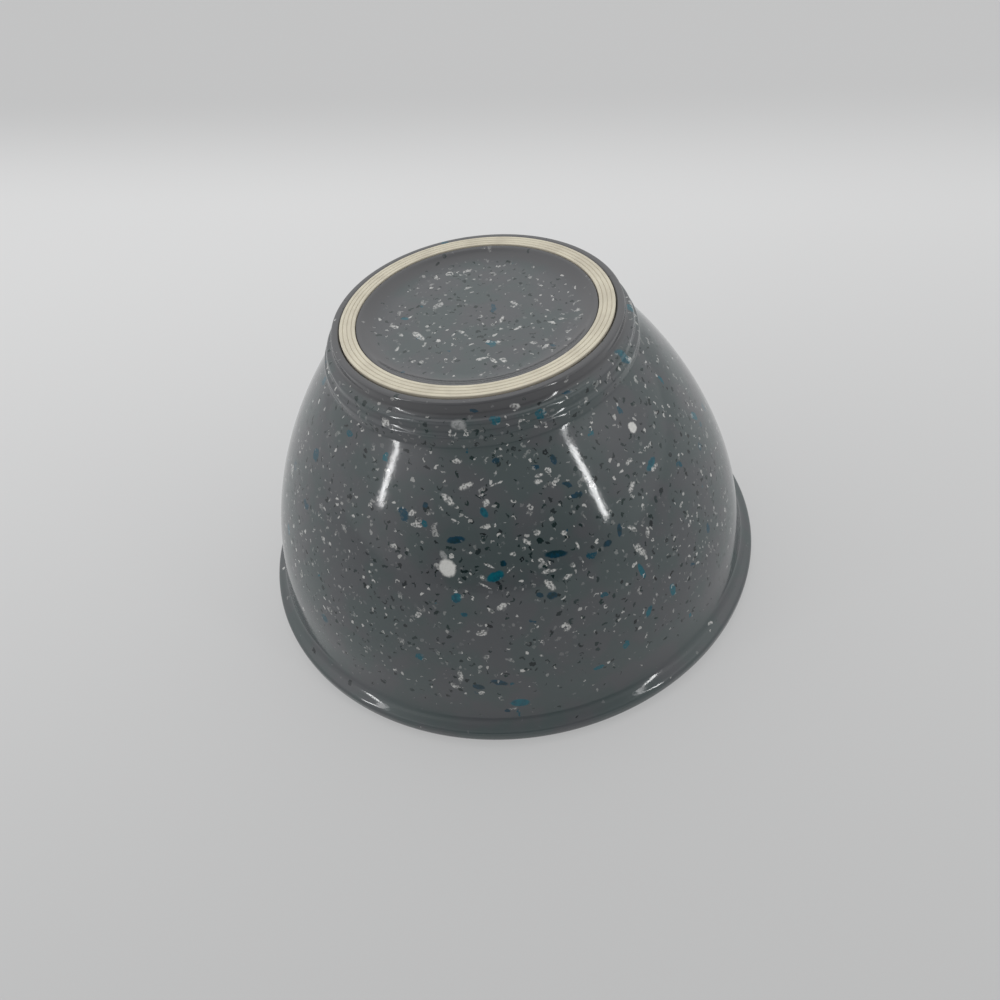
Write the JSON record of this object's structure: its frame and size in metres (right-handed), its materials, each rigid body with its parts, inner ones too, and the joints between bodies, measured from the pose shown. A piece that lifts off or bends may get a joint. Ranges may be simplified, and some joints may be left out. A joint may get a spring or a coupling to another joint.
{
  "type": "garbage bowl",
  "caption": "Deep round kitchen scrap bowl with a rolled rim, domed speckled wall, terraced foot and a ridged non-slip ring in the foot.",
  "frame": {"origin": "centre of the rim plane, on the surface that the upturned bowl stands on", "axes": "+Z along the bowl's axis from the rim to the foot, so the bowl is upside down as pictured; X and Y are any two level directions"},
  "size_m": [0.254, 0.254, 0.146],
  "materials": {
    "speckled_melamine": "glossy warm grey melamine with moulded-in white, teal and dark chips",
    "cream_rubber": "satin cream soft rubber with fine concentric ridges"
  },
  "bodies": {
    "root": {"bowl_shell": "speckled_melamine", "non_slip_ring": "cream_rubber"}
  },
  "joints": []
}
